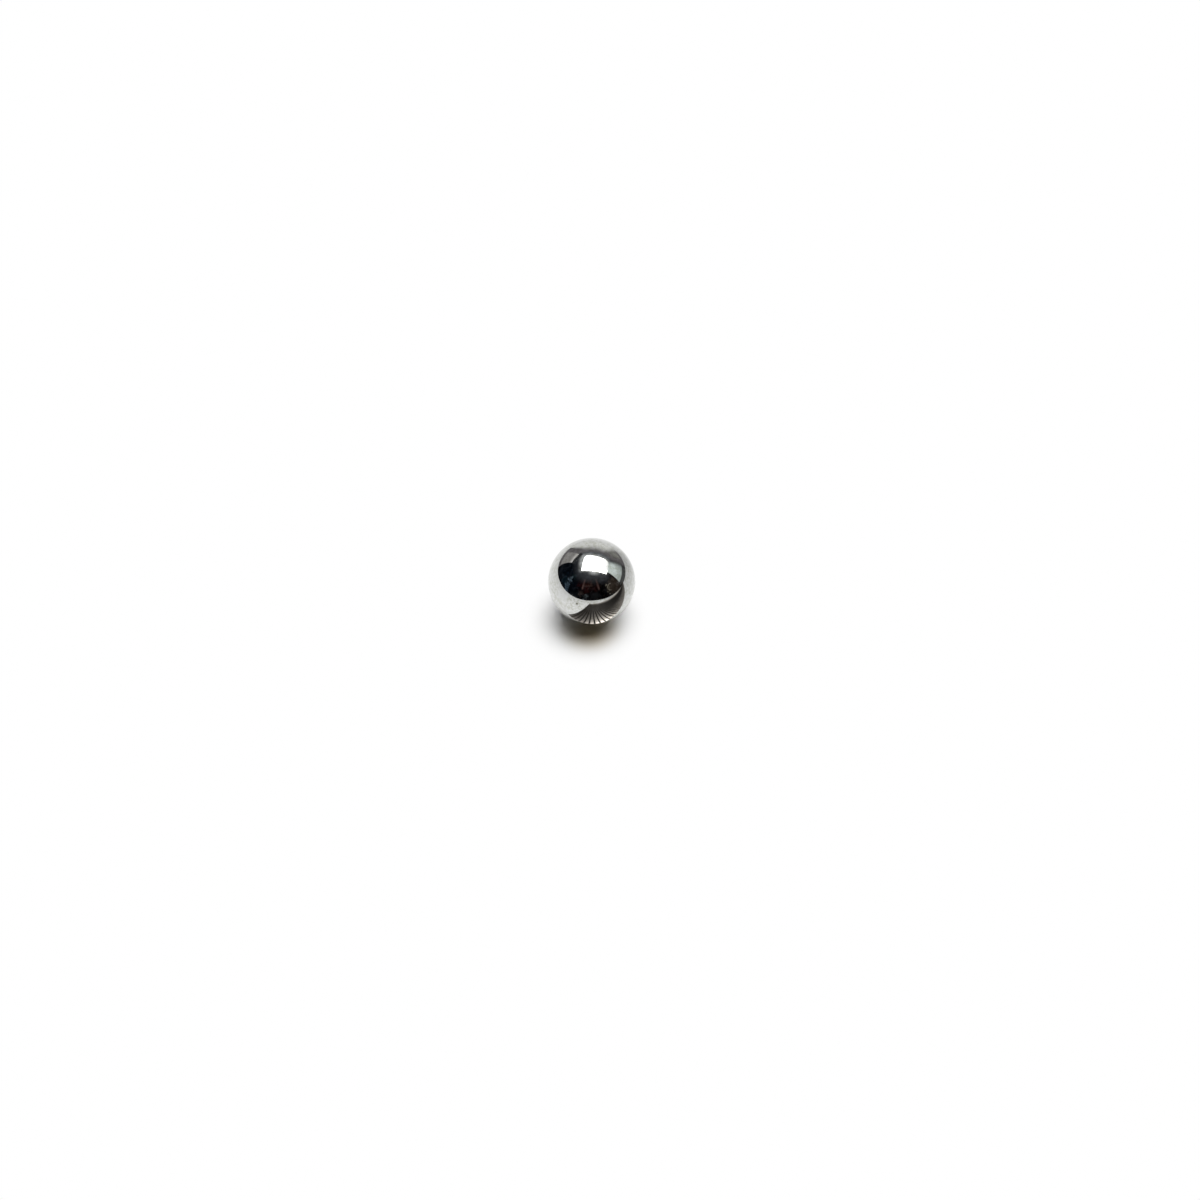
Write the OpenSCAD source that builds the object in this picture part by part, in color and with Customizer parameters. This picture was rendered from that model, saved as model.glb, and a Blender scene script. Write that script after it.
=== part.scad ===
// A precision steel ball: one solid, lapped round all over, with no seam, bore, flat or coating.
// Millimetres, +Z up. The origin is the ball's centre.

/* [Ball] */
// Diameter of the ball
ball_d = 6.35; // [0.5:0.05:100]

/* [Hidden] */
// Polished steel as it looks with a pale bench below it and a dim room above
polished_steel = [0.66, 0.66, 0.64];
// Facets round the preview of the ball
$fn = 128;

// The ball is true at every point, so its diameter is its only size.
module ball() {
    color(polished_steel)
        sphere(d = ball_d);
}

ball();
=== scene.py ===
"""Steel ball: a lapped and polished bearing ball on a pale studio floor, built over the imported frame."""

import math
from collections import namedtuple

import bpy
from bpy.props import FloatProperty, FloatVectorProperty, IntProperty, PointerProperty
from mathutils import Matrix, Quaternion, Vector


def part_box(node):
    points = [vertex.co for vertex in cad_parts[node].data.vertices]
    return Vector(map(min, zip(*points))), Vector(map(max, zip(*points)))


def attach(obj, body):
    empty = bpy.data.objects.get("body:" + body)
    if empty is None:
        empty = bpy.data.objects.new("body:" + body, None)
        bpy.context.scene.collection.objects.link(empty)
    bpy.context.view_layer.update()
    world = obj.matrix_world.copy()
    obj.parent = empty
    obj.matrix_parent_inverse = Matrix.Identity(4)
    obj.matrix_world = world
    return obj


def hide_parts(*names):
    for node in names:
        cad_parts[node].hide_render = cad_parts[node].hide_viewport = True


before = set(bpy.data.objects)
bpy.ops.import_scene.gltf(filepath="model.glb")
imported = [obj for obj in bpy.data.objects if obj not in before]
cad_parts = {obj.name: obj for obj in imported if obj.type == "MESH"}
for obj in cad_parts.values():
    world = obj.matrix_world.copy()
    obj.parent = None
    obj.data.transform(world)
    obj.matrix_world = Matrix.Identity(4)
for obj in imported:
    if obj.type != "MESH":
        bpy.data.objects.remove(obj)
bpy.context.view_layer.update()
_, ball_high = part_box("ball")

bl_info = {
    "name": "Steel Ball",
    "version": (1, 0, 0),
    "blender": (4, 5, 0),
    "location": "View3D > Sidebar > Steel Ball",
    "description": "Models a polished steel ball and its studio stage",
    "category": "Object",
}

MM = 0.001
BODY = "root"
NODE = "ball"

# The frame's origin is the ball's centre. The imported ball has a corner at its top, so its height is true.
BALL_CENTRE = Vector((0.0, 0.0, 0.0))
BALL_RADIUS = ball_high[2]
FLOOR_Z = -BALL_RADIUS

# A Mix node's sockets by number, because their names repeat for each kind of data: colours, then numbers.
MIX_A = 6
MIX_B = 7
MIX_RESULT = 2
MIX_LOW = 2
MIX_HIGH = 3
MIX_VALUE = 0

WHITE = (1.0, 1.0, 1.0, 1.0)

# Settings that nodes share. SMOOTH eases a Map Range node in and out between its two ends. A Mix node mixes
# COLOURS or NUMBERS.
SMOOTH = {"interpolation_type": "SMOOTHSTEP"}
COLOURS = {"data_type": "RGBA"}
NUMBERS = {"data_type": "FLOAT"}
ADD = {"operation": "ADD"}
SUBTRACT = {"operation": "SUBTRACT"}
MULTIPLY = {"operation": "MULTIPLY"}
MULTIPLY_ADD = {"operation": "MULTIPLY_ADD"}
DIVIDE = {"operation": "DIVIDE"}
MAXIMUM = {"operation": "MAXIMUM"}
DISTANCE = {"operation": "DISTANCE"}
DOT_PRODUCT = {"operation": "DOT_PRODUCT"}


def linear(hex_colour):
    """An sRGB hex colour as linear red, green and blue."""
    shares = [int(hex_colour[i : i + 2], 16) / 255 for i in (1, 3, 5)]
    return tuple(s / 12.92 if s <= 0.04045 else ((s + 0.055) / 1.055) ** 2.4 for s in shares)


def add_node(tree, kind, settings=None, values=None, links=None):
    """Adds one node: its own settings, the values of its sockets, and links from other nodes' outputs."""
    node = tree.nodes.new(kind)
    for name, setting in (settings or {}).items():
        setattr(node, name, setting)
    for socket, value in (values or {}).items():
        node.inputs[socket].default_value = value
    for socket, (source, output) in (links or {}).items():
        tree.links.new(source.outputs[output], node.inputs[socket])
    return node


def new_material(name):
    """An empty node material and its tree."""
    material = bpy.data.materials.new(name)
    material.use_nodes = True
    material.node_tree.nodes.clear()
    return material, material.node_tree


def deselect_all():
    """Deselects everything, so that the next operator acts on its own object only."""
    bpy.ops.object.select_all(action="DESELECT")


# ---------------------------------------------------------------- settings

# What every colour setting has.
COLOUR = {"size": 3, "min": 0.0, "max": 1.0, "subtype": "COLOR"}


class BallSettings(bpy.types.PropertyGroup):
    """Sizes and finish of the ball."""

    diameter: FloatProperty(
        name="Diameter",
        description="Across the finished ball",
        default=2 * BALL_RADIUS,
        min=0.5 * MM,
        unit="LENGTH",
        precision=5,
    )
    rows: IntProperty(
        name="Rows",
        description="Rows of faces across each of the six patches that make up the ball",
        default=64,
        min=8,
        max=90,
    )
    steel: FloatVectorProperty(
        name="Steel",
        description="Colour of clean polished steel seen straight on",
        default=linear("#D5D6D5"),
        **COLOUR,
    )
    roughness: FloatProperty(
        name="Polish",
        description="Roughness of the clean lapped surface",
        default=0.03,
        min=0.0,
        max=1.0,
        subtype="FACTOR",
    )
    lap_mark: FloatProperty(
        name="Lap Mark",
        description="Width of one lapping mark as drawn",
        default=0.02 * MM,
        min=0.001 * MM,
        unit="LENGTH",
        precision=6,
    )
    speck: FloatProperty(
        name="Speck",
        description="Width of the speck of dirt on the front",
        default=0.17 * MM,
        min=0.0,
        unit="LENGTH",
        precision=5,
    )
    dirt: FloatVectorProperty(
        name="Dirt", description="Colour of the speck", default=linear("#6E6A50"), **COLOUR
    )


class StageSettings(bpy.types.PropertyGroup):
    """Camera, lamp, floor and room."""

    camera_distance: FloatProperty(
        name="Camera Distance",
        description="From the ball's centre to the lens",
        default=0.2971,
        min=0.02,
        unit="LENGTH",
        precision=4,
    )
    camera_height: FloatProperty(
        name="Camera Elevation",
        description="Angle of the camera above the floor",
        default=math.radians(51.4),
        unit="ROTATION",
    )
    camera_roll: FloatProperty(
        name="Camera Roll",
        description="Turn of the camera about its own line of sight",
        default=math.radians(-3.5),
        unit="ROTATION",
    )
    camera_pan: FloatProperty(
        name="Camera Pan",
        description="How far the camera looks past the ball to the right",
        default=math.radians(0.117),
        unit="ROTATION",
    )
    camera_tilt: FloatProperty(
        name="Camera Tilt",
        description="How far the camera looks past the ball downwards",
        default=math.radians(0.261),
        unit="ROTATION",
    )
    lens: FloatProperty(
        name="Lens",
        description="Focal length on a 36 mm wide sensor, in millimetres",
        default=122.4,
        min=10.0,
        unit="CAMERA",
    )
    lamp_power: FloatProperty(
        name="Lamp Power",
        description="Power of the overhead softbox in watts",
        default=3.25,
        min=0.0,
        unit="POWER",
    )
    paper: FloatVectorProperty(
        name="Paper", description="Colour of the floor", default=linear("#FCFCFB"), **COLOUR
    )
    room: FloatVectorProperty(
        name="Room",
        description="Colour of the unlit room round the table",
        default=linear("#1E1F22"),
        **COLOUR,
    )


# ---------------------------------------------------------------- ball

# Lapping marks run in every direction: each set has its own turn in degrees, and its place in the pattern.
LapSet = namedtuple("LapSet", "turn offset")
LAP_SETS = (
    LapSet((12, 35, 0), (0.0, 0.0, 0.0)),
    LapSet((71, -18, 40), (9.1, 2.7, 4.4)),
    LapSet((-38, 57, 105), (3.3, 8.2, 6.1)),
    LapSet((24, -66, 160), (5.9, 1.8, 7.7)),
)
# A mark stays the same for about two millimetres along its length. It is a little rougher than the polish.
LAP_ALONG_PER_MM = 0.55
LAP_STREAKS = {"Scale": 1.0, "Detail": 1.0, "Roughness": 0.4}
LAP_SHOWS = {"From Min": 0.66, "From Max": 0.82}
LAP_ROUGHNESS = 0.08
LAP_BUMP = {"Strength": 0.4, "Distance": 0.00015 * MM}

# Handling haze lies in patches of a millimetre or two. It keeps most of the colour and dulls the polish.
HAZE_PATCHES = {"Scale": 0.7, "Detail": 4.0, "Roughness": 0.6, "Distortion": 0.4}
HAZE_SHOWS = {"From Min": 0.45, "From Max": 0.75}
HAZE_KEEPS = 0.93
HAZE_ROUGHNESS = 0.03

# A faint film is broken up into spots of a few tenths of a millimetre. Where it is thickest, it keeps these
# shares of the red, green and blue.
FILM_SPOTS = {"Scale": 4.0, "Detail": 4.0, "Roughness": 0.75}
FILM_SHOWS = {"From Min": 0.40, "From Max": 0.62}
FILM_KEEPS = (0.76, 0.76, 0.70)

# The speck of dirt sits on the front of the ball, a little left of the middle and above the equator.
# Shares of its radius say how far its edge wanders, and where the dirt begins and is full.
SPECK_DIRECTION = Vector((-0.366, -0.875, 0.318)).normalized()
SPECK_GRAIN = {"Scale": 14.0, "Detail": 3.0, "Roughness": 0.6}
SPECK_RAGGED = 0.6
SPECK_OUTER = 1.3
SPECK_INNER = 0.3
SPECK_ROUGHNESS = 0.7


def lapped_chrome_steel(ball):
    """Through-hardened chrome steel, lapped and polished.

    To the eye it is a clear neutral mirror, with hair-thin marks left by the lapping plates in every
    direction, a haze and a spotty film where it was handled, and one speck of dirt.
    """
    material, tree = new_material("lapped_chrome_steel")
    place = add_node(tree, "ShaderNodeTexCoord")
    # Object coordinates are metres. All the patterns below are in millimetres.
    in_mm = add_node(
        tree, "ShaderNodeVectorMath", {"operation": "SCALE"}, {"Scale": 1 / MM}, {0: (place, "Object")}
    )

    # Real lapping marks are about 0.002 mm wide. They are drawn ten times as coarse, so that they show.
    marks_per_mm = MM / ball.lap_mark / 2
    marks = None
    for lap_set in LAP_SETS:
        turned = add_node(
            tree, "ShaderNodeMapping", {},
            {"Location": lap_set.offset, "Rotation": tuple(math.radians(a) for a in lap_set.turn)},
            {"Vector": (in_mm, "Vector")},
        )
        stretched = add_node(
            tree, "ShaderNodeVectorMath", MULTIPLY,
            {1: (marks_per_mm, LAP_ALONG_PER_MM, LAP_ALONG_PER_MM)},
            {0: (turned, "Vector")},
        )
        streaks = add_node(tree, "ShaderNodeTexNoise", {}, LAP_STREAKS, {"Vector": (stretched, "Vector")})
        # Only the tallest streaks are kept, so that the marks are sparse and end softly.
        sparse = add_node(tree, "ShaderNodeMapRange", SMOOTH, LAP_SHOWS, {"Value": (streaks, "Fac")})
        if marks is None:
            marks = (sparse, "Result")
            continue
        both = add_node(tree, "ShaderNodeMath", MAXIMUM, links={0: marks, 1: (sparse, "Result")})
        marks = (both, "Value")

    haze = add_node(tree, "ShaderNodeTexNoise", {}, HAZE_PATCHES, {"Vector": (in_mm, "Vector")})
    haze_share = add_node(tree, "ShaderNodeMapRange", SMOOTH, HAZE_SHOWS, {"Value": (haze, "Fac")})

    film = add_node(tree, "ShaderNodeTexNoise", {}, FILM_SPOTS, {"Vector": (in_mm, "Vector")})
    film_share = add_node(tree, "ShaderNodeMapRange", {}, FILM_SHOWS, {"Value": (film, "Fac")})

    # The speck: a ragged spot round its own point.
    ragged = add_node(tree, "ShaderNodeTexNoise", {}, SPECK_GRAIN, {"Vector": (in_mm, "Vector")})
    speck_point = SPECK_DIRECTION * (ball.diameter / 2 / MM)
    away = add_node(tree, "ShaderNodeVectorMath", DISTANCE, {1: speck_point}, {0: (in_mm, "Vector")})
    speck_radius = ball.speck / 2 / MM
    edge = add_node(
        tree, "ShaderNodeMath", MULTIPLY_ADD,
        {1: -2 * SPECK_RAGGED * speck_radius, 2: SPECK_RAGGED * speck_radius},
        {0: (ragged, "Fac")},
    )
    reach = add_node(tree, "ShaderNodeMath", ADD, links={0: (away, "Value"), 1: (edge, "Value")})
    dirt = add_node(
        tree, "ShaderNodeMapRange", SMOOTH,
        {"From Min": SPECK_OUTER * speck_radius, "From Max": SPECK_INNER * speck_radius},
        {"Value": (reach, "Value")},
    )

    # Colour: clean steel, greyer in the film's spots, a little duller under the haze, brown in the speck.
    steel_colour = (*ball.steel, 1.0)
    dull_colour = (*(HAZE_KEEPS * part for part in ball.steel), 1.0)
    filmed_colour = (*(part * kept for part, kept in zip(ball.steel, FILM_KEEPS)), 1.0)
    filmed = add_node(
        tree, "ShaderNodeMix", COLOURS,
        {MIX_A: steel_colour, MIX_B: filmed_colour},
        {0: (film_share, "Result")},
    )
    clean = add_node(
        tree, "ShaderNodeMix", COLOURS,
        {MIX_B: dull_colour},
        {0: (haze_share, "Result"), MIX_A: (filmed, MIX_RESULT)},
    )
    spotted = add_node(
        tree, "ShaderNodeMix", COLOURS,
        {MIX_B: (*ball.dirt, 1.0)},
        {0: (dirt, "Result"), MIX_A: (clean, MIX_RESULT)},
    )

    # Roughness: the polish, plus the haze, the marks and the dry speck.
    hazed = add_node(
        tree, "ShaderNodeMath", MULTIPLY_ADD,
        {1: HAZE_ROUGHNESS, 2: ball.roughness},
        {0: (haze_share, "Result")},
    )
    marked = add_node(
        tree, "ShaderNodeMath", MULTIPLY_ADD, {1: LAP_ROUGHNESS}, {0: marks, 2: (hazed, "Value")}
    )
    dusted = add_node(
        tree, "ShaderNodeMath", {**MULTIPLY_ADD, "use_clamp": True},
        {1: SPECK_ROUGHNESS},
        {0: (dirt, "Result"), 2: (marked, "Value")},
    )
    metal = add_node(
        tree, "ShaderNodeMath", {**SUBTRACT, "use_clamp": True}, {0: 1.0}, {1: (dirt, "Result")}
    )
    bump = add_node(tree, "ShaderNodeBump", {"invert": True}, LAP_BUMP, {"Height": marks})
    steel = add_node(
        tree, "ShaderNodeBsdfPrincipled",
        links={
            "Base Color": (spotted, MIX_RESULT),
            "Metallic": (metal, "Value"),
            "Roughness": (dusted, "Value"),
            "Normal": (bump, "Normal"),
        },
    )
    add_node(tree, "ShaderNodeOutputMaterial", links={"Surface": (steel, "BSDF")})
    return material


class STEELBALL_OT_ball(bpy.types.Operator):
    """Models the ball from a cube whose six sides are cut into rows and cast to a true sphere"""

    bl_idname = "steel_ball.ball"
    bl_label = "Model Ball"
    bl_options = {"REGISTER", "UNDO"}

    def execute(self, context):
        """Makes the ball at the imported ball's place, from a cube with even grids, so without poles."""
        ball = context.scene.ball_settings
        deselect_all()
        bpy.ops.mesh.primitive_cube_add(size=ball.diameter, location=BALL_CENTRE)
        piece = context.active_object
        piece.name = "polished_ball"
        bpy.ops.object.mode_set(mode="EDIT")
        bpy.ops.mesh.select_all(action="SELECT")
        bpy.ops.mesh.subdivide(number_cuts=ball.rows - 1)
        bpy.ops.object.mode_set(mode="OBJECT")
        bpy.ops.object.modifier_add(type="CAST")
        cast = piece.modifiers[-1]
        cast.cast_type = "SPHERE"
        cast.factor = 1.0
        cast.use_radius_as_size = False
        cast.size = ball.diameter / 2
        bpy.ops.object.modifier_apply(modifier=cast.name)
        bpy.ops.object.shade_smooth()
        bpy.ops.object.transform_apply(location=True, rotation=True, scale=True)
        piece.data.name = piece.name
        piece.data.materials.append(lapped_chrome_steel(ball))
        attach(piece, BODY)
        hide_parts(NODE)
        return {"FINISHED"}


# ---------------------------------------------------------------- stage

# The camera's sensor in millimetres, and the distances in metres that it sees between.
CAMERA_SENSOR = 36.0
CAMERA_NEAREST = 0.01
CAMERA_FURTHEST = 10.0

# The sheet of paper that the ball stands on: its edges as seen from the ball.
PAPER_RIGHT = 0.050
PAPER_LEFT = -1.200
PAPER_BACK = 0.065
PAPER_FRONT = -0.300

# Close to the ball the steel sees the paper's own light and shade. Over the next few millimetres it
# turns to a plain white sheet of painted light, which dims evenly from its full light near the ball.
PAPER_OWN = 2.2 * MM
PAPER_PLAIN = 6.0 * MM
PAPER_DIM_FROM = 6.0 * MM
PAPER_DIM_TO = 45.0 * MM
PAPER_DIM_LIGHT = 0.81
# The painted sheet loses light with distance towards the right as well. The shares say how much of the
# way from the ball is to the right, where 1 is due right.
PAPER_LOSS_SHARES = {"From Min": 0.32, "From Max": 0.72, "To Max": 0.36}
PAPER_DUE_RIGHT_SHARES = {"From Min": 0.80, "From Max": 1.0, "To Min": 1.0, "To Max": 0.6}
PAPER_LOSS_FROM = 2.5 * MM
PAPER_LOSS_TO = 15.0 * MM
# A painted pool of light makes it a little brighter in front of the ball on its left.
PAPER_PAINTED_POOL = (-6.8 * MM, -5.8 * MM, FLOOR_Z)
PAPER_PAINTED_POOL_CORE = 2.0 * MM
PAPER_PAINTED_POOL_REACH = 6.5 * MM
PAPER_PAINTED_POOL_LIGHT = 1.06

# The middle of the ball's shadow on the paper. Between these distances from it, the paper turns plain
# white to the eye. Under the front of the ball a deeper, warmer shadow is painted into the paper's colour.
SHADOW_MIDDLE = (-0.53 * MM, -1.07 * MM, FLOOR_Z)
SHADOW_INNER = 1.64 * MM
SHADOW_OUTER = 4.89 * MM
PAINTED_SHADOW_MIDDLE = (-0.25 * MM, -2.1 * MM, FLOOR_Z)
PAINTED_SHADOW_REACH = 2.9 * MM
PAINTED_SHADOW_COLOUR = "#D3C6AC"

# The softbox hangs level, above the ball and to its back right. The far end of its cloth is narrowed to
# this share about a point on the right of its middle, and has round corners.
SOFTBOX_PLACE = Vector((0.126, 0.086, 0.444))
SOFTBOX_WIDTH = 0.600
SOFTBOX_DEPTH = 0.381
SOFTBOX_TURN = math.radians(-9)
SOFTBOX_FAR_SHARE = 0.90
SOFTBOX_FAR_MIDDLE = 0.15
SOFTBOX_CORNER = 0.05
SOFTBOX_CORNER_CUTS = 5
SOFTBOX_SHINE = 4.5
# Along the cloth's right-hand side the light falls in two steps, at these places and to these shares.
# The near end keeps its full light: from there to the far end, the fall begins at one place and is
# whole at the next.
SOFTBOX_DIM_SIDE = (0.160, 0.220, 0.300)
SOFTBOX_DIM_SHARE = (1.0, 0.35, 0.27)
SOFTBOX_DIM_NEAR = -0.105
SOFTBOX_DIM_FAR = -0.060

# A dark ribbed plate lies flat in front of the ball, for the steel alone to see. Its corner is the one
# at the back left, measured from the ball.
PLATE_LENGTH = 124 * MM
PLATE_DEPTH = 22.0 * MM
PLATE_TURN = math.radians(-1.6)
PLATE_CORNER = Vector((-2.95 * MM, -2.5 * MM, FLOOR_Z + 0.5 * MM))
PLATE_CORNER_TO_MIDDLE = Vector((PLATE_LENGTH / 2, -PLATE_DEPTH / 2, 0.0))
PLATE_MIDDLE = PLATE_CORNER + Matrix.Rotation(PLATE_TURN, 3, "Z") @ PLATE_CORNER_TO_MIDDLE
# The tint of the light that it sends to the ball, and its strength where no shine is painted on it.
PLATE_COLOUR = "#FCF2EA"
PLATE_DARK = 0.020
# Dark grooves between the ribs, along the back of the plate: how far from its middle a groove stays
# dark, and how far out it ends. The grooves begin and are full at these distances from the back edge.
PLATE_RIB_PITCH = 0.5 * MM
PLATE_GROOVE_INNER = 0.05 * MM
PLATE_GROOVE_OUTER = 0.12 * MM
PLATE_GROOVES_BEGIN = 8 * MM
PLATE_GROOVES_FULL = 4 * MM
# The softbox's shine is painted as a fan from a point under the ball. It fades with the distance and to its
# sides.
PLATE_SHINE_X = 1.1 * MM
PLATE_SHINE_REACH = 3.0 * MM
PLATE_SHINE_LIGHT = 2.05
PLATE_SHINE_FAR_LIGHT = 0.045
PLATE_SHINE_FALL = -4.6
PLATE_SHINE_SIDE_FALL = 8.3
# A broad painted sheen further forward, measured from the ball along this slanting way. It ends towards the
# right, measured from the plate's left end.
PLATE_SHEEN_WAY = (0.25, -1.0, 0.0)
PLATE_SHEEN_BEGINS = 16 * MM
PLATE_SHEEN_FULL = 30 * MM
PLATE_SHEEN_LIGHT = 0.62
PLATE_SHEEN_FADES = 34 * MM
PLATE_SHEEN_ENDS = 56 * MM
# Between these distances from its left end, the grooves begin to run together and a painted highlight to
# show along the back edge. The painted edge is this deep.
PLATE_EDGE_BEGINS = 5.5 * MM
PLATE_EDGE_FULL = 9 * MM
PLATE_EDGE_DEPTH = 4 * MM
PLATE_EDGE_LIGHT = 0.15

# Lit cards round the table, in metres and degrees. The middle of a card lies at its azimuth (from the
# far side towards the right), elevation (up from the floor) and distance from the ball. It faces the
# ball as if from the elevation given as facing, so 0 is upright. soft is how far each edge fades: left,
# right, bottom and top. light is its strength at the two heights of rise, from its middle, and uneven
# is how much of it comes and goes. lean is how far the left edge shifts right for each metre up.
Card = namedtuple(
    "Card",
    "name width height soft light rise uneven colour azimuth elevation distance facing lean",
    defaults=(0.0, 0.0, 0.0, 0.0, 0.0),
)
CARD_DRIFT = {"Scale": 2.6, "Detail": 4.0, "Roughness": 0.6, "Distortion": 0.5}
CARD_DRIFT_SHOWS = {"From Min": 0.3, "From Max": 0.7}
CARDS = (
    Card(
        name="far_wall", azimuth=5, elevation=33, distance=1.67,
        width=5.20, height=2.20, soft=(0.10, 1.00, 0.02, 1.00),
        light=(0.18, 0.18), rise=(-0.5, 0.5), uneven=0.2, colour="#F4EEF4",
    ),
    Card(
        name="corner_cloth", azimuth=41, elevation=16, distance=1.24,
        width=0.54, height=0.66, soft=(0.22, 0.18, 0.04, 0.36),
        light=(0.26, 0.26), rise=(-0.5, 0.5), uneven=0.25, colour="#FBFAF4",
    ),
    Card(
        name="backdrop", azimuth=8.5, elevation=20.2, distance=1.065,
        width=1.15, height=0.945, soft=(0.26, 0.28, 0.02, 0.64), lean=0.45,
        light=(0.87, 0.87), rise=(-0.4, 0.4), uneven=0.06, colour="#FDFDFB",
    ),
    Card(
        name="left_card", azimuth=-43, elevation=23, distance=1.0, facing=23,
        width=0.44, height=0.67, soft=(0.02, 0.02, 0.02, 0.02),
        light=(0.34, 0.92), rise=(0.10, 0.33), uneven=0.15, colour="#F4F0EE",
    ),
    Card(
        name="dark_gap", azimuth=-40, elevation=44.6, distance=0.98, facing=44.6,
        width=0.60, height=0.19, soft=(0.06, 0.10, 0.02, 0.06),
        light=(0.035, 0.05), rise=(-0.1, 0.1), uneven=0.3, colour="#E8ECF2",
    ),
    Card(
        name="side_card", azimuth=80.6, elevation=33, distance=1.19,
        width=0.78, height=1.10, soft=(0.30, 0.02, 0.04, 0.02),
        light=(0.56, 0.96), rise=(-0.50, 0.12), uneven=0.15, colour="#F0FAF8",
    ),
    Card(
        name="left_strip", azimuth=-151, elevation=41, distance=1.8, facing=41,
        width=0.22, height=1.05, soft=(0.10, 0.10, 0.20, 0.20),
        light=(0.15, 0.10), rise=(-0.5, 0.3), uneven=0.5, colour="#D8AAA2",
    ),
    Card(
        name="right_strip", azimuth=160, elevation=41, distance=1.8, facing=41,
        width=0.24, height=1.15, soft=(0.11, 0.11, 0.20, 0.20),
        light=(0.09, 0.10), rise=(-0.5, 0.3), uneven=0.5, colour="#D8AAA2",
    ),
)

# A dim patch of light on the ceiling behind the softbox is painted on glowing cards. From the ball, this
# shows as a soft border round it. The cards on the ceiling take no angles, and have their bottoms at the
# far side.
CEILING_HEIGHT = 1.30
GLOW_SCALE = CEILING_HEIGHT / SOFTBOX_PLACE.z
GLOW_SIDE = 1.00
GLOW_SIDE_FADE = 1.50
GLOW_FRONT = 1.20
GLOW = Card(
    name="ceiling_glow",
    width=SOFTBOX_WIDTH * GLOW_SCALE + 2 * GLOW_SIDE,
    height=SOFTBOX_DEPTH * GLOW_SCALE + 2 * GLOW_FRONT,
    soft=(GLOW_SIDE_FADE, GLOW_SIDE_FADE, GLOW_FRONT, GLOW_FRONT),
    light=(0.22, 0.085),
    rise=(-0.6, 0.0),
    uneven=0.35,
    colour="#E6ECF8",
)
# Right beside the softbox more painted light makes the ceiling brighter, less so on its right and its near
# side.
HALO_EDGE = 0.34
HALO_RIGHT_FADE = 0.75
HALO_SHORT = 0.12
HALO_NARROW = 0.07
HALO_SHIFT = (HALO_NARROW / 2 - 0.05, HALO_SHORT / 2 + 0.03, -0.01)
HALO = Card(
    name="softbox_halo",
    width=SOFTBOX_WIDTH * GLOW_SCALE + 2 * HALO_EDGE - HALO_NARROW,
    height=SOFTBOX_DEPTH * GLOW_SCALE + 2 * HALO_EDGE - HALO_SHORT,
    soft=(HALO_EDGE, HALO_RIGHT_FADE, HALO_EDGE, HALO_EDGE),
    light=(0.50, 0.36),
    rise=(0.1, 0.6),
    uneven=0.45,
    colour="#F6F8FA",
)
# In front of the softbox, to the left of its middle, painted light makes it brighter still.
SPILL_SHIFT = (-0.20, -0.66, -0.02)
SPILL = Card(
    name="softbox_spill",
    width=0.90,
    height=0.40,
    soft=(0.44, 0.44, 0.02, 0.30),
    light=(0.75, 0.75),
    rise=(-0.2, 0.2),
    uneven=0.3,
    colour="#F6F8FA",
)


def show_to_steel_only(thing):
    """Hides a stage piece from the eye and the lamps, so that only reflections show it."""
    thing.visible_camera = False
    thing.visible_shadow = False
    thing.visible_diffuse = False


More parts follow.
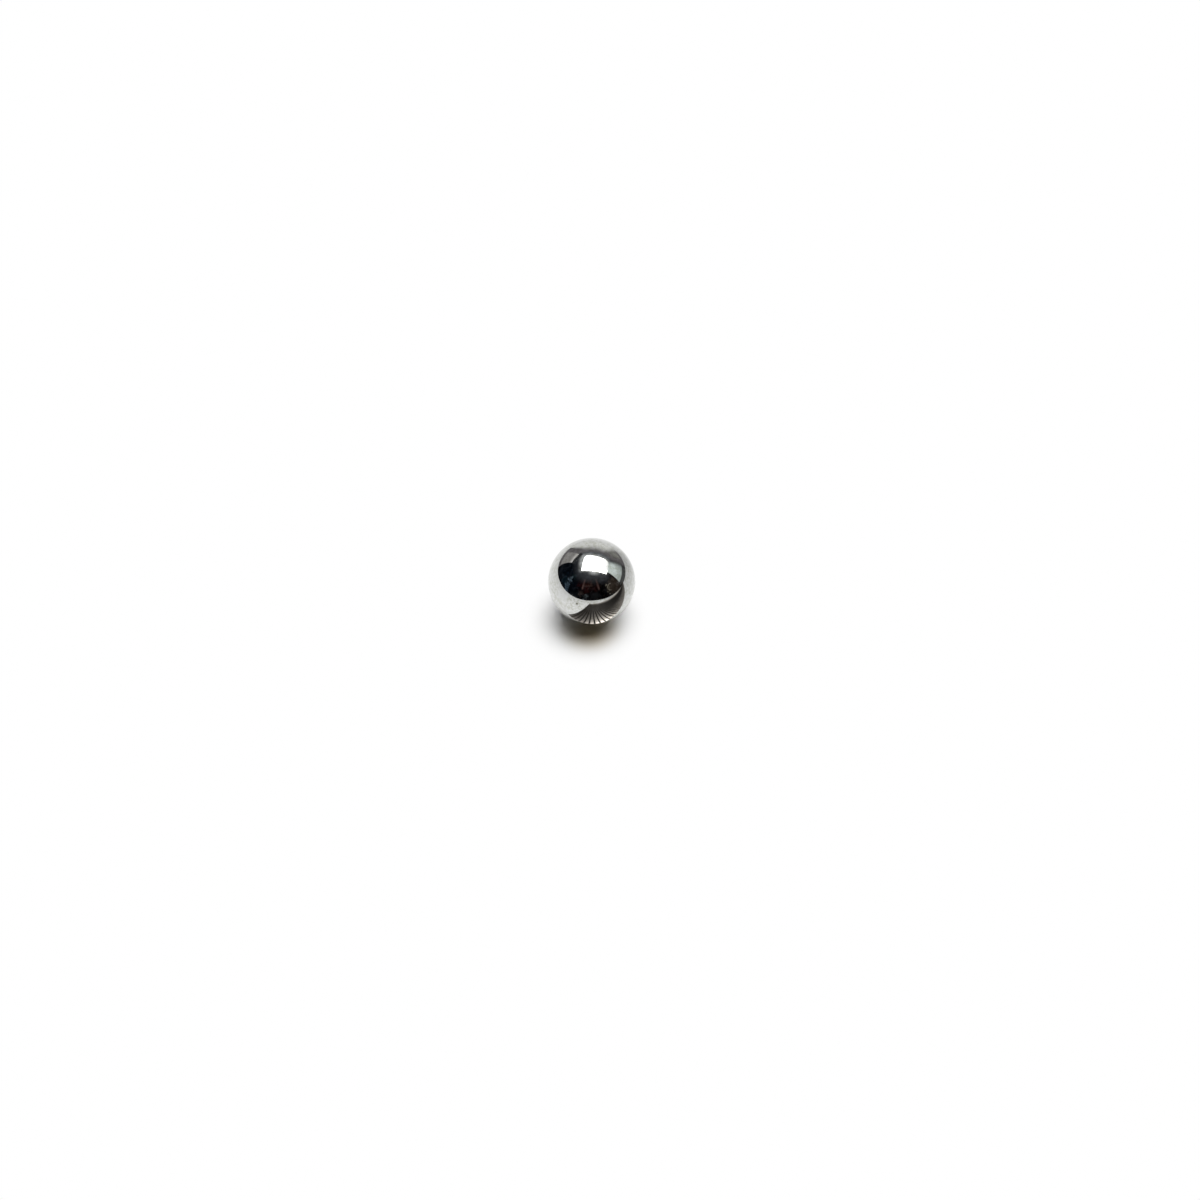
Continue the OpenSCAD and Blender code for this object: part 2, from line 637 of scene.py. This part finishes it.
def matt_paper(stage):
    """Smooth matt paper. Near the ball it is lit and shaded, with a painted shadow under its front, and
    further out it runs off to plain white.
    """
    material, tree = new_material("matt_paper")
    place = add_node(tree, "ShaderNodeNewGeometry")
    away = add_node(
        tree, "ShaderNodeVectorMath", DISTANCE, {1: (0.0, 0.0, FLOOR_Z)}, {0: (place, "Position")}
    )
    off_shadow = add_node(
        tree, "ShaderNodeVectorMath", DISTANCE, {1: SHADOW_MIDDLE}, {0: (place, "Position")}
    )
    far_to_eye = add_node(
        tree, "ShaderNodeMapRange", SMOOTH,
        {"From Min": SHADOW_INNER, "From Max": SHADOW_OUTER},
        {"Value": (off_shadow, "Value")},
    )
    far_to_steel = add_node(
        tree, "ShaderNodeMapRange", SMOOTH,
        {"From Min": PAPER_OWN, "From Max": PAPER_PLAIN},
        {"Value": (away, "Value")},
    )
    ray = add_node(tree, "ShaderNodeLightPath")
    eye = add_node(
        tree, "ShaderNodeMath", MULTIPLY, links={0: (far_to_eye, "Result"), 1: (ray, "Is Camera Ray")}
    )
    steel = add_node(
        tree, "ShaderNodeMath", MULTIPLY, links={0: (far_to_steel, "Result"), 1: (ray, "Is Glossy Ray")}
    )
    # Under the front of the ball a painted shadow: the paper's own colour is made darker and warmer there.
    off_painted_shadow = add_node(
        tree, "ShaderNodeVectorMath", DISTANCE, {1: PAINTED_SHADOW_MIDDLE}, {0: (place, "Position")}
    )
    out_of_painted_shadow = add_node(
        tree, "ShaderNodeMapRange", SMOOTH,
        {"From Min": 0.0, "From Max": PAINTED_SHADOW_REACH},
        {"Value": (off_painted_shadow, "Value")},
    )
    shadow_painted_colour = add_node(
        tree, "ShaderNodeMix", COLOURS,
        {MIX_A: (*linear(PAINTED_SHADOW_COLOUR), 1.0), MIX_B: (*stage.paper, 1.0)},
        {0: (out_of_painted_shadow, "Result")},
    )
    lit = add_node(tree, "ShaderNodeBsdfDiffuse", links={"Color": (shadow_painted_colour, MIX_RESULT)})
    # The plain sheet that the steel sees is painted light: brightest beside the ball, dimming further out,
    # mostly to the right, with a painted pool of light in front on its left.
    axes = add_node(tree, "ShaderNodeSeparateXYZ", links={"Vector": (place, "Position")})
    rightward = add_node(tree, "ShaderNodeMath", DIVIDE, links={0: (axes, "X"), 1: (away, "Value")})
    on_right = add_node(
        tree, "ShaderNodeMapRange", SMOOTH, PAPER_LOSS_SHARES, {"Value": (rightward, "Value")}
    )
    due_right = add_node(
        tree, "ShaderNodeMapRange", SMOOTH, PAPER_DUE_RIGHT_SHARES, {"Value": (rightward, "Value")}
    )
    loss = add_node(
        tree, "ShaderNodeMath", MULTIPLY, links={0: (on_right, "Result"), 1: (due_right, "Result")}
    )
    further_out = add_node(
        tree, "ShaderNodeMapRange", SMOOTH,
        {"From Min": PAPER_LOSS_FROM, "From Max": PAPER_LOSS_TO},
        {"Value": (away, "Value")},
    )
    lost = add_node(
        tree, "ShaderNodeMath", MULTIPLY, links={0: (loss, "Value"), 1: (further_out, "Result")}
    )
    kept = add_node(tree, "ShaderNodeMath", SUBTRACT, {0: 1.0}, {1: (lost, "Value")})
    dim_far = add_node(
        tree, "ShaderNodeMapRange", {},
        {"From Min": PAPER_DIM_FROM, "From Max": PAPER_DIM_TO, "To Min": 1.0, "To Max": PAPER_DIM_LIGHT},
        {"Value": (away, "Value")},
    )
    dim = add_node(tree, "ShaderNodeMath", MULTIPLY, links={0: (kept, "Value"), 1: (dim_far, "Result")})
    off_painted_pool = add_node(tree, "ShaderNodeVectorMath", DISTANCE, {1: PAPER_PAINTED_POOL}, {0: (place, "Position")})
    painted_pool = add_node(
        tree, "ShaderNodeMapRange", SMOOTH,
        {"From Min": PAPER_PAINTED_POOL_CORE, "From Max": PAPER_PAINTED_POOL_REACH, "To Min": PAPER_PAINTED_POOL_LIGHT},
        {"Value": (off_painted_pool, "Value")},
    )
    painted_sheet_light = add_node(tree, "ShaderNodeMath", MULTIPLY, links={0: (dim, "Value"), 1: (painted_pool, "Result")})
    painted_sheet = add_node(tree, "ShaderNodeEmission", {}, {"Color": WHITE}, {"Strength": (painted_sheet_light, "Value")})
    shown_to_steel = add_node(
        tree, "ShaderNodeMixShader", links={0: (steel, "Value"), 1: (lit, "BSDF"), 2: (painted_sheet, "Emission")}
    )
    white = add_node(tree, "ShaderNodeEmission", {}, {"Color": WHITE, "Strength": 1.0})
    paper = add_node(
        tree, "ShaderNodeMixShader",
        links={0: (eye, "Value"), 1: (shown_to_steel, "Shader"), 2: (white, "Emission")},
    )
    # From below, the floor lets the eye through to the underside of the ball.
    clear = add_node(tree, "ShaderNodeBsdfTransparent")
    one_sided = add_node(
        tree, "ShaderNodeMixShader",
        links={0: (place, "Backfacing"), 1: (paper, "Shader"), 2: (clear, "BSDF")},
    )
    add_node(tree, "ShaderNodeOutputMaterial", links={"Surface": (one_sided, "Shader")})
    return material


def lit_card(card):
    """A lit card whose edges fade out and whose light changes from bottom to top."""
    material, tree = new_material(card.name)
    place = add_node(tree, "ShaderNodeTexCoord")
    axes = add_node(tree, "ShaderNodeSeparateXYZ", links={"Vector": (place, "Object")})
    left, right, bottom, top = card.soft
    half_width = card.width / 2
    half_height = card.height / 2
    leaned = add_node(
        tree, "ShaderNodeMath", MULTIPLY_ADD, {1: -card.lean}, {0: (axes, "Y"), 2: (axes, "X")}
    )
    share = None
    for across, edge, inner in (
        ((leaned, "Value"), -half_width, left - half_width),
        ((axes, "X"), half_width, half_width - right),
        ((axes, "Y"), -half_height, bottom - half_height),
        ((axes, "Y"), half_height, half_height - top),
    ):
        fade = add_node(
            tree, "ShaderNodeMapRange", SMOOTH, {"From Min": edge, "From Max": inner}, {"Value": across}
        )
        if share is None:
            share = (fade, "Result")
            continue
        both = add_node(tree, "ShaderNodeMath", MULTIPLY, links={0: share, 1: (fade, "Result")})
        share = (both, "Value")
    strength = add_node(
        tree, "ShaderNodeMapRange", SMOOTH,
        {
            "From Min": card.rise[0],
            "From Max": card.rise[1],
            "To Min": card.light[0],
            "To Max": card.light[1],
        },
        {"Value": (axes, "Y")},
    )
    drift = add_node(tree, "ShaderNodeTexNoise", {}, CARD_DRIFT, {"Vector": (place, "Object")})
    unevenness = add_node(
        tree, "ShaderNodeMapRange", {},
        {**CARD_DRIFT_SHOWS, "To Min": 1.0 - card.uneven, "To Max": 1.0 + card.uneven},
        {"Value": (drift, "Fac")},
    )
    drifting = add_node(
        tree, "ShaderNodeMath", MULTIPLY, links={0: (strength, "Result"), 1: (unevenness, "Result")}
    )
    clear = add_node(tree, "ShaderNodeBsdfTransparent")
    light = add_node(
        tree, "ShaderNodeEmission", {},
        {"Color": (*linear(card.colour), 1.0)},
        {"Strength": (drifting, "Value")},
    )
    faded = add_node(
        tree, "ShaderNodeMixShader", links={0: share, 1: (clear, "BSDF"), 2: (light, "Emission")}
    )
    add_node(tree, "ShaderNodeOutputMaterial", links={"Surface": (faded, "Shader")})
    return material


def softbox_cloth():
    """White cloth with a lamp behind it: evenly bright, but weaker along its right-hand side."""
    material, tree = new_material("softbox_cloth")
    place = add_node(tree, "ShaderNodeTexCoord")
    axes = add_node(tree, "ShaderNodeSeparateXYZ", links={"Vector": (place, "Object")})
    start, middle, end = SOFTBOX_DIM_SIDE
    full, half, dim = SOFTBOX_DIM_SHARE
    first = add_node(
        tree, "ShaderNodeMapRange", SMOOTH,
        {"From Min": start, "From Max": middle, "To Min": full, "To Max": half},
        {"Value": (axes, "X")},
    )
    second = add_node(
        tree, "ShaderNodeMapRange", {},
        {"From Min": middle, "From Max": end, "To Min": 1.0, "To Max": dim / half},
        {"Value": (axes, "X")},
    )
    dimmed = add_node(
        tree, "ShaderNodeMath", MULTIPLY, links={0: (first, "Result"), 1: (second, "Result")}
    )
    away = add_node(
        tree, "ShaderNodeMapRange", SMOOTH,
        {"From Min": SOFTBOX_DIM_NEAR, "From Max": SOFTBOX_DIM_FAR},
        {"Value": (axes, "Y")},
    )
    share = add_node(
        tree, "ShaderNodeMix", NUMBERS, {MIX_LOW: 1.0}, {0: (away, "Result"), MIX_HIGH: (dimmed, "Value")}
    )
    strength = add_node(tree, "ShaderNodeMath", MULTIPLY, {1: SOFTBOX_SHINE}, {0: (share, MIX_VALUE)})
    light = add_node(tree, "ShaderNodeEmission", {}, {"Color": WHITE}, {"Strength": (strength, "Value")})
    add_node(tree, "ShaderNodeOutputMaterial", links={"Surface": (light, "Emission")})
    return material


def towards(azimuth, elevation):
    """The direction from the ball at these angles in degrees: 0 is the far side, 90 the right."""
    a = math.radians(azimuth)
    e = math.radians(elevation)
    return Vector((math.sin(a) * math.cos(e), math.cos(a) * math.cos(e), math.sin(e)))


def add_flat(name, place, width, depth, turn=(0.0, 0.0, 0.0)):
    """A flat sheet with its middle at this place, turned as given."""
    deselect_all()
    bpy.ops.mesh.primitive_plane_add(size=1.0, location=place, rotation=turn)
    flat = bpy.context.active_object
    flat.name = name
    flat.scale = (width, depth, 1.0)
    bpy.ops.object.transform_apply(location=False, rotation=False, scale=True)
    return flat


def add_card(card):
    """One card: lit, soft-edged, and seen by the steel alone."""
    middle = BALL_CENTRE + towards(card.azimuth, card.elevation) * card.distance
    turn = (-towards(card.azimuth, card.facing)).to_track_quat("Z", "Y").to_euler()
    thing = add_flat(card.name, middle, card.width, card.height, turn)
    thing.data.materials.append(lit_card(card))
    show_to_steel_only(thing)


# The room's unevenness and how it shows, how the outlines of things in it wander, and small clutter. A
# pattern's scale is for each metre.
ROOM_RADIUS = 3.5
ROOM_CUTS = 5
ROOM_UNEVEN = {"Scale": 1.1, "Detail": 3.0, "Roughness": 0.55, "Distortion": 0.6}
ROOM_TONE = {"From Min": 0.42, "From Max": 0.72, "To Min": 0.05, "To Max": 0.7}
ROOM_WANDER = {"Scale": 2.2, "Detail": 3.0, "Roughness": 0.6}
ROOM_WANDER_REACH = 1.2
CLUTTER = {"Scale": 4.5, "Detail": 3.0, "Roughness": 0.7}
CLUTTER_SHOWS = {"From Min": 0.56, "From Max": 0.74, "To Max": 0.07}
CLUTTER_LEFT = "#6C90B8"
CLUTTER_RIGHT = "#B08468"

# What shows in the room, as soft dim patches. Each has its middle, its even core and its outer edge in
# degrees, its tint and strength, and how much the room's unevenness breaks it up.
Patch = namedtuple("Patch", "azimuth elevation core spread colour strength broken")
ROOM_PATCHES = (
    Patch(84, 0, 8, 26, "#EEF2F4", 0.10, 0.0),
    Patch(-90, 25, 5, 60, "#5878A0", 0.028, 0.6),
    Patch(-94, 15, 2, 12, "#4C8CA4", 0.07, 0.7),
    Patch(-106, 30, 1, 6, "#A4BCD0", 0.42, 0.6),
    Patch(-107, 18, 1, 6, "#94B4D0", 0.42, 0.6),
    Patch(-108, 8, 1, 6, "#94B4D0", 0.38, 0.6),
    Patch(-107, 42, 1, 8, "#4C8C8C", 0.05, 0.5),
    Patch(-160, 40, 5, 30, "#8C3C34", 0.026, 0.3),
    Patch(-143, 37, 2, 10, "#903830", 0.05, 0.5),
    Patch(-164, 27, 2, 10, "#903830", 0.06, 0.5),
    Patch(-165, 47, 2, 11, "#A8644C", 0.06, 0.5),
    Patch(-166, 37, 1, 8, "#D0A8A0", 0.09, 0.5),
    Patch(-175, 42, 1, 7, "#C8A89C", 0.08, 0.5),
    Patch(168, 32, 2, 10, "#903830", 0.06, 0.5),
    Patch(132, 23, 1, 6, "#E8E0CC", 0.36, 0.6),
    Patch(134, 13, 1, 6, "#E8E0CC", 0.36, 0.6),
    Patch(118, 16, 6, 26, "#A08C7C", 0.15, 0.5),
    Patch(130, 38, 4, 20, "#8890A4", 0.035, 0.5),
    Patch(-148, 16, 1, 8, "#B49C94", 0.12, 0.5),
    Patch(-164, 9, 1, 7, "#B8C4CC", 0.26, 0.6),
)


def dark_room(stage):
    """The unlit room round the table: nearly black, uneven, with a few dim tinted things in it."""
    material, tree = new_material("dark_room")
    place = add_node(tree, "ShaderNodeTexCoord")
    uneven = add_node(tree, "ShaderNodeTexNoise", {}, ROOM_UNEVEN, {"Vector": (place, "Object")})
    tone = add_node(tree, "ShaderNodeMapRange", SMOOTH, ROOM_TONE, {"Value": (uneven, "Fac")})
    base = add_node(
        tree, "ShaderNodeEmission", {}, {"Color": (*stage.room, 1.0)}, {"Strength": (tone, "Result")}
    )
    # The patches' outlines wander, so that none of them is a neat round spot.
    wander = add_node(tree, "ShaderNodeTexNoise", {}, ROOM_WANDER, {"Vector": (place, "Object")})
    offset = add_node(
        tree, "ShaderNodeVectorMath", MULTIPLY_ADD,
        {1: (2 * ROOM_WANDER_REACH,) * 3, 2: (-ROOM_WANDER_REACH,) * 3},
        {0: (wander, "Color")},
    )
    wandered = add_node(
        tree, "ShaderNodeVectorMath", ADD, links={0: (place, "Object"), 1: (offset, "Vector")}
    )
    direction = add_node(
        tree, "ShaderNodeVectorMath", {"operation": "NORMALIZE"}, links={0: (wandered, "Vector")}
    )
    # Small things stand all over the room: bluish on the left, brown on the right.
    clutter = add_node(tree, "ShaderNodeTexNoise", {}, CLUTTER, {"Vector": (place, "Object")})
    clutter_light = add_node(
        tree, "ShaderNodeMapRange", SMOOTH, CLUTTER_SHOWS, {"Value": (clutter, "Fac")}
    )
    place_axes = add_node(tree, "ShaderNodeSeparateXYZ", links={"Vector": (place, "Object")})
    rightward = add_node(
        tree, "ShaderNodeMapRange", {},
        {"From Min": -ROOM_RADIUS / 2, "From Max": ROOM_RADIUS / 2},
        {"Value": (place_axes, "X")},
    )
    clutter_colour = add_node(
        tree, "ShaderNodeMix", COLOURS,
        {MIX_A: (*linear(CLUTTER_LEFT), 1.0), MIX_B: (*linear(CLUTTER_RIGHT), 1.0)},
        {0: (rightward, "Result")},
    )
    small_things = add_node(
        tree, "ShaderNodeEmission",
        links={"Color": (clutter_colour, MIX_RESULT), "Strength": (clutter_light, "Result")},
    )
    cluttered = add_node(
        tree, "ShaderNodeAddShader", links={0: (base, "Emission"), 1: (small_things, "Emission")}
    )
    sum_so_far = (cluttered, "Shader")
    for patch in ROOM_PATCHES:
        near = add_node(
            tree, "ShaderNodeVectorMath", DOT_PRODUCT,
            {1: towards(patch.azimuth, patch.elevation)},
            {0: (direction, "Vector")},
        )
        glow = add_node(
            tree, "ShaderNodeMapRange", SMOOTH,
            {
                "From Min": math.cos(math.radians(patch.spread)),
                "From Max": math.cos(math.radians(patch.core)),
                "To Max": patch.strength,
            },
            {"Value": (near, "Value")},
        )
        breaks = add_node(
            tree, "ShaderNodeMapRange", {}, {"To Min": 1.0 - patch.broken}, {"Value": (tone, "Result")}
        )
        broken = add_node(
            tree, "ShaderNodeMath", MULTIPLY, links={0: (glow, "Result"), 1: (breaks, "Result")}
        )
        light = add_node(
            tree, "ShaderNodeEmission", {},
            {"Color": (*linear(patch.colour), 1.0)},
            {"Strength": (broken, "Value")},
        )
        both = add_node(tree, "ShaderNodeAddShader", links={0: sum_so_far, 1: (light, "Emission")})
        sum_so_far = (both, "Shader")
    add_node(tree, "ShaderNodeOutputMaterial", links={"Surface": sum_so_far})
    return material


def ribbed_plate():
    """Dark metal with fine ribs along its back edge, drawn as its own light, with the softbox's shine and
    sheens painted on it.
    """
    material, tree = new_material("ribbed_plate")
    left = -PLATE_LENGTH / 2
    back = PLATE_DEPTH / 2
    where = add_node(tree, "ShaderNodeNewGeometry")
    where_axes = add_node(tree, "ShaderNodeSeparateXYZ", links={"Vector": (where, "Position")})
    # The painted shine is a fan from below the ball towards the front: it widens and fades with the
    # distance.
    forward = add_node(
        tree, "ShaderNodeMath", MULTIPLY, {1: -1.0 / PLATE_SHINE_REACH}, {0: (where_axes, "Y")}
    )
    sideways = add_node(
        tree, "ShaderNodeMath", MULTIPLY_ADD,
        {1: 1.0 / PLATE_SHINE_REACH, 2: -PLATE_SHINE_X / PLATE_SHINE_REACH},
        {0: (where_axes, "X")},
    )
    slant = add_node(
        tree, "ShaderNodeMath", DIVIDE, links={0: (sideways, "Value"), 1: (forward, "Value")}
    )
    slant_squared = add_node(
        tree, "ShaderNodeMath", MULTIPLY, links={0: (slant, "Value"), 1: (slant, "Value")}
    )
    off_fan = add_node(
        tree, "ShaderNodeMath", MULTIPLY_ADD,
        {1: PLATE_SHINE_SIDE_FALL, 2: 1.0},
        {0: (slant_squared, "Value")},
    )
    fading = add_node(
        tree, "ShaderNodeMath", {"operation": "POWER"}, {1: PLATE_SHINE_FALL}, {0: (forward, "Value")}
    )
    fan = add_node(
        tree, "ShaderNodeMath", MULTIPLY_ADD,
        {1: PLATE_SHINE_LIGHT, 2: PLATE_SHINE_FAR_LIGHT},
        {0: (fading, "Value")},
    )
    fan_light = add_node(tree, "ShaderNodeMath", DIVIDE, links={0: (fan, "Value"), 1: (off_fan, "Value")})
    painted_shine = add_node(tree, "ShaderNodeMath", ADD, {1: PLATE_DARK}, {0: (fan_light, "Value")})
    towards_front = add_node(
        tree, "ShaderNodeVectorMath", DOT_PRODUCT, {1: PLATE_SHEEN_WAY}, {0: (where, "Position")}
    )
    painted_far_sheen = add_node(
        tree, "ShaderNodeMapRange", SMOOTH,
        {"From Min": PLATE_SHEEN_BEGINS, "From Max": PLATE_SHEEN_FULL, "To Max": PLATE_SHEEN_LIGHT},
        {"Value": (towards_front, "Value")},
    )
    place = add_node(tree, "ShaderNodeTexCoord")
    axes = add_node(tree, "ShaderNodeSeparateXYZ", links={"Vector": (place, "Object")})
    off_groove = add_node(
        tree, "ShaderNodeMath", {"operation": "PINGPONG"}, {1: PLATE_RIB_PITCH / 2}, {0: (axes, "X")}
    )
    groove = add_node(
        tree, "ShaderNodeMapRange", SMOOTH,
        {"From Min": PLATE_GROOVE_INNER, "From Max": PLATE_GROOVE_OUTER, "To Min": 1.0, "To Max": 0.0},
        {"Value": (off_groove, "Value")},
    )
    along_back = add_node(
        tree, "ShaderNodeMapRange", SMOOTH,
        {"From Min": back - PLATE_GROOVES_BEGIN, "From Max": back - PLATE_GROOVES_FULL},
        {"Value": (axes, "Y")},
    )
    # Further to the right the grooves run together, and a painted highlight lies along the plate's back
    # edge instead.
    out_right = add_node(
        tree, "ShaderNodeMapRange", SMOOTH,
        {"From Min": left + PLATE_EDGE_BEGINS, "From Max": left + PLATE_EDGE_FULL},
        {"Value": (axes, "X")},
    )
    on_left = add_node(tree, "ShaderNodeMath", SUBTRACT, {0: 1.0}, {1: (out_right, "Result")})
    groove_left = add_node(
        tree, "ShaderNodeMath", MULTIPLY, links={0: (groove, "Result"), 1: (on_left, "Value")}
    )
    grooved = add_node(
        tree, "ShaderNodeMath", MULTIPLY, links={0: (groove_left, "Value"), 1: (along_back, "Result")}
    )
    painted_edge_highlight = add_node(
        tree, "ShaderNodeMapRange", SMOOTH,
        {"From Min": back - PLATE_EDGE_DEPTH, "From Max": back, "To Max": PLATE_EDGE_LIGHT},
        {"Value": (axes, "Y")},
    )
    painted_edge_sheen = add_node(
        tree, "ShaderNodeMath", MULTIPLY, links={0: (painted_edge_highlight, "Result"), 1: (out_right, "Result")}
    )
    strength = add_node(
        tree, "ShaderNodeMix", NUMBERS,
        {MIX_HIGH: PLATE_DARK},
        {0: (grooved, "Value"), MIX_LOW: (painted_shine, "Value")},
    )
    short_of_end = add_node(
        tree, "ShaderNodeMapRange", SMOOTH,
        {
            "From Min": left + PLATE_SHEEN_FADES,
            "From Max": left + PLATE_SHEEN_ENDS,
            "To Min": 1.0,
            "To Max": 0.0,
        },
        {"Value": (axes, "X")},
    )
    painted_far_sheen_here = add_node(
        tree, "ShaderNodeMath", MULTIPLY, links={0: (painted_far_sheen, "Result"), 1: (short_of_end, "Result")}
    )
    near_and_far = add_node(
        tree, "ShaderNodeMath", ADD, links={0: (strength, MIX_VALUE), 1: (painted_far_sheen_here, "Value")}
    )
    total = add_node(
        tree, "ShaderNodeMath", ADD, links={0: (near_and_far, "Value"), 1: (painted_edge_sheen, "Value")}
    )
    light = add_node(
        tree, "ShaderNodeEmission", {},
        {"Color": (*linear(PLATE_COLOUR), 1.0)},
        {"Strength": (total, "Value")},
    )
    add_node(tree, "ShaderNodeOutputMaterial", links={"Surface": (light, "Emission")})
    return material


def add_floor(stage):
    """The sheet of paper under the ball."""
    middle = ((PAPER_LEFT + PAPER_RIGHT) / 2, (PAPER_FRONT + PAPER_BACK) / 2, FLOOR_Z)
    floor = add_flat("floor", middle, PAPER_RIGHT - PAPER_LEFT, PAPER_BACK - PAPER_FRONT)
    floor.data.materials.append(matt_paper(stage))


def add_plate():
    """The dark plate in front of the ball, turned a little."""
    plate = add_flat("ribbed_plate", PLATE_MIDDLE, PLATE_LENGTH, PLATE_DEPTH, (0.0, 0.0, PLATE_TURN))
    plate.data.materials.append(ribbed_plate())
    show_to_steel_only(plate)


def add_room(stage):
    """The dark room, which only the steel sees."""
    deselect_all()
    bpy.ops.mesh.primitive_ico_sphere_add(
        subdivisions=ROOM_CUTS, radius=ROOM_RADIUS, location=BALL_CENTRE
    )
    room = bpy.context.active_object
    room.name = "room"
    room.data.materials.append(dark_room(stage))
    show_to_steel_only(room)


def add_softbox(stage):
    """The softbox overhead: a large soft lamp, level with the floor."""
    deselect_all()
    bpy.ops.object.light_add(type="AREA", location=SOFTBOX_PLACE, rotation=(0.0, 0.0, SOFTBOX_TURN))
    softbox = bpy.context.active_object
    softbox.name = "softbox"
    softbox.data.shape = "RECTANGLE"
    softbox.data.size = SOFTBOX_WIDTH
    softbox.data.size_y = SOFTBOX_DEPTH
    softbox.data.energy = stage.lamp_power
    softbox.visible_camera = False
    softbox.visible_glossy = False

    # The cloth is shaped over the origin, where its far corners are those with a positive y, and then hung.
    cloth = add_flat("softbox_cloth", BALL_CENTRE, SOFTBOX_WIDTH, SOFTBOX_DEPTH)
    bpy.ops.object.mode_set(mode="EDIT")
    bpy.ops.mesh.select_mode(type="VERT")
    bpy.ops.mesh.select_all(action="DESELECT")
    bpy.ops.object.mode_set(mode="OBJECT")
    for corner in cloth.data.vertices:
        corner.select = corner.co.y > 0
    bpy.ops.object.mode_set(mode="EDIT")
    bpy.ops.transform.resize(
        value=(SOFTBOX_FAR_SHARE, 1.0, 1.0), center_override=(SOFTBOX_FAR_MIDDLE, SOFTBOX_DEPTH / 2, 0.0)
    )
    bpy.ops.mesh.bevel(offset=SOFTBOX_CORNER, segments=SOFTBOX_CORNER_CUTS, affect="VERTICES")
    bpy.ops.object.mode_set(mode="OBJECT")
    cloth.location = SOFTBOX_PLACE
    cloth.rotation_euler = (0.0, 0.0, SOFTBOX_TURN)
    cloth.data.materials.append(softbox_cloth())
    show_to_steel_only(cloth)


def add_glow(card, shift=(0.0, 0.0, 0.0)):
    """One card of painted light on the ceiling, shifted by this much from right behind the softbox."""
    place = SOFTBOX_PLACE * GLOW_SCALE + Vector(shift)
    glow = add_flat(card.name, place, card.width, card.height, (math.pi, 0.0, SOFTBOX_TURN))
    glow.data.materials.append(lit_card(card))
    show_to_steel_only(glow)


def white_world(scene):
    """A world that the eye and the steel see as plain white, and that lights nothing."""
    world = bpy.data.worlds.new("white_surround")
    world.use_nodes = True
    tree = world.node_tree
    tree.nodes.clear()
    ray = add_node(tree, "ShaderNodeLightPath")
    eye_or_gloss = add_node(
        tree, "ShaderNodeMath", MAXIMUM, links={0: (ray, "Is Camera Ray"), 1: (ray, "Is Glossy Ray")}
    )
    shown = add_node(
        tree, "ShaderNodeMath", MAXIMUM,
        links={0: (eye_or_gloss, "Value"), 1: (ray, "Is Transmission Ray")},
    )
    unlit = add_node(tree, "ShaderNodeBackground", {}, {"Color": WHITE, "Strength": 0.0})
    white = add_node(tree, "ShaderNodeBackground", {}, {"Color": WHITE, "Strength": 1.0})
    surround = add_node(
        tree, "ShaderNodeMixShader",
        links={0: (shown, "Value"), 1: (unlit, "Background"), 2: (white, "Background")},
    )
    add_node(tree, "ShaderNodeOutputWorld", links={"Surface": (surround, "Shader")})
    scene.world = world


def add_camera(stage, scene):
    """The camera, in front of the ball and looking down at it."""
    height = stage.camera_height
    back = Vector((0.0, -math.cos(height), math.sin(height)))
    aim = (-back).to_track_quat("-Z", "Y")
    aim = aim @ Quaternion((0, 0, 1), stage.camera_roll)
    aim = aim @ Quaternion((0, 1, 0), -stage.camera_pan)
    aim = aim @ Quaternion((1, 0, 0), -stage.camera_tilt)
    deselect_all()
    bpy.ops.object.camera_add(
        location=BALL_CENTRE + back * stage.camera_distance, rotation=aim.to_euler()
    )
    camera = bpy.context.active_object
    camera.name = "camera"
    camera.data.lens = stage.lens
    camera.data.sensor_width = CAMERA_SENSOR
    camera.data.clip_start = CAMERA_NEAREST
    camera.data.clip_end = CAMERA_FURTHEST
    scene.camera = camera


class STEELBALL_OT_stage(bpy.types.Operator):
    """Builds the floor, the plate, the dark room, the cards, the softbox, the world and the camera"""

    bl_idname = "steel_ball.stage"
    bl_label = "Build Stage"
    bl_options = {"REGISTER", "UNDO"}

    def execute(self, context):
        """Makes every stage piece from the stage settings."""
        stage = context.scene.stage_settings
        add_floor(stage)
        add_plate()
        add_room(stage)
        for card in CARDS:
            add_card(card)
        add_softbox(stage)
        add_glow(GLOW)
        add_glow(HALO, HALO_SHIFT)
        add_glow(SPILL, SPILL_SHIFT)
        white_world(context.scene)
        add_camera(stage, context.scene)
        context.scene.view_settings.view_transform = "Standard"
        return {"FINISHED"}


class STEELBALL_PT_panel(bpy.types.Panel):
    """Lists the settings and the steps in the 3D view's sidebar"""

    bl_idname = "STEELBALL_PT_panel"
    bl_label = "Steel Ball"
    bl_space_type = "VIEW_3D"
    bl_region_type = "UI"
    bl_category = "Steel Ball"

    def draw(self, context):
        """Draws each group of settings over its own button."""
        for group, operator in (
            (context.scene.ball_settings, STEELBALL_OT_ball),
            (context.scene.stage_settings, STEELBALL_OT_stage),
        ):
            box = self.layout.box()
            for name in group.__annotations__:
                box.prop(group, name)
            box.operator(operator.bl_idname)


CLASSES = (BallSettings, StageSettings, STEELBALL_OT_ball, STEELBALL_OT_stage, STEELBALL_PT_panel)


def register():
    """Adds the classes and the scene's settings."""
    for cls in CLASSES:
        bpy.utils.register_class(cls)
    bpy.types.Scene.ball_settings = PointerProperty(type=BallSettings)
    bpy.types.Scene.stage_settings = PointerProperty(type=StageSettings)


def unregister():
    """Takes them away again."""
    del bpy.types.Scene.stage_settings
    del bpy.types.Scene.ball_settings
    for cls in reversed(CLASSES):
        bpy.utils.unregister_class(cls)


def main():
    """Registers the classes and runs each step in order."""
    register()
    bpy.ops.steel_ball.ball()
    bpy.ops.steel_ball.stage()


if __name__ == "__main__":
    main()
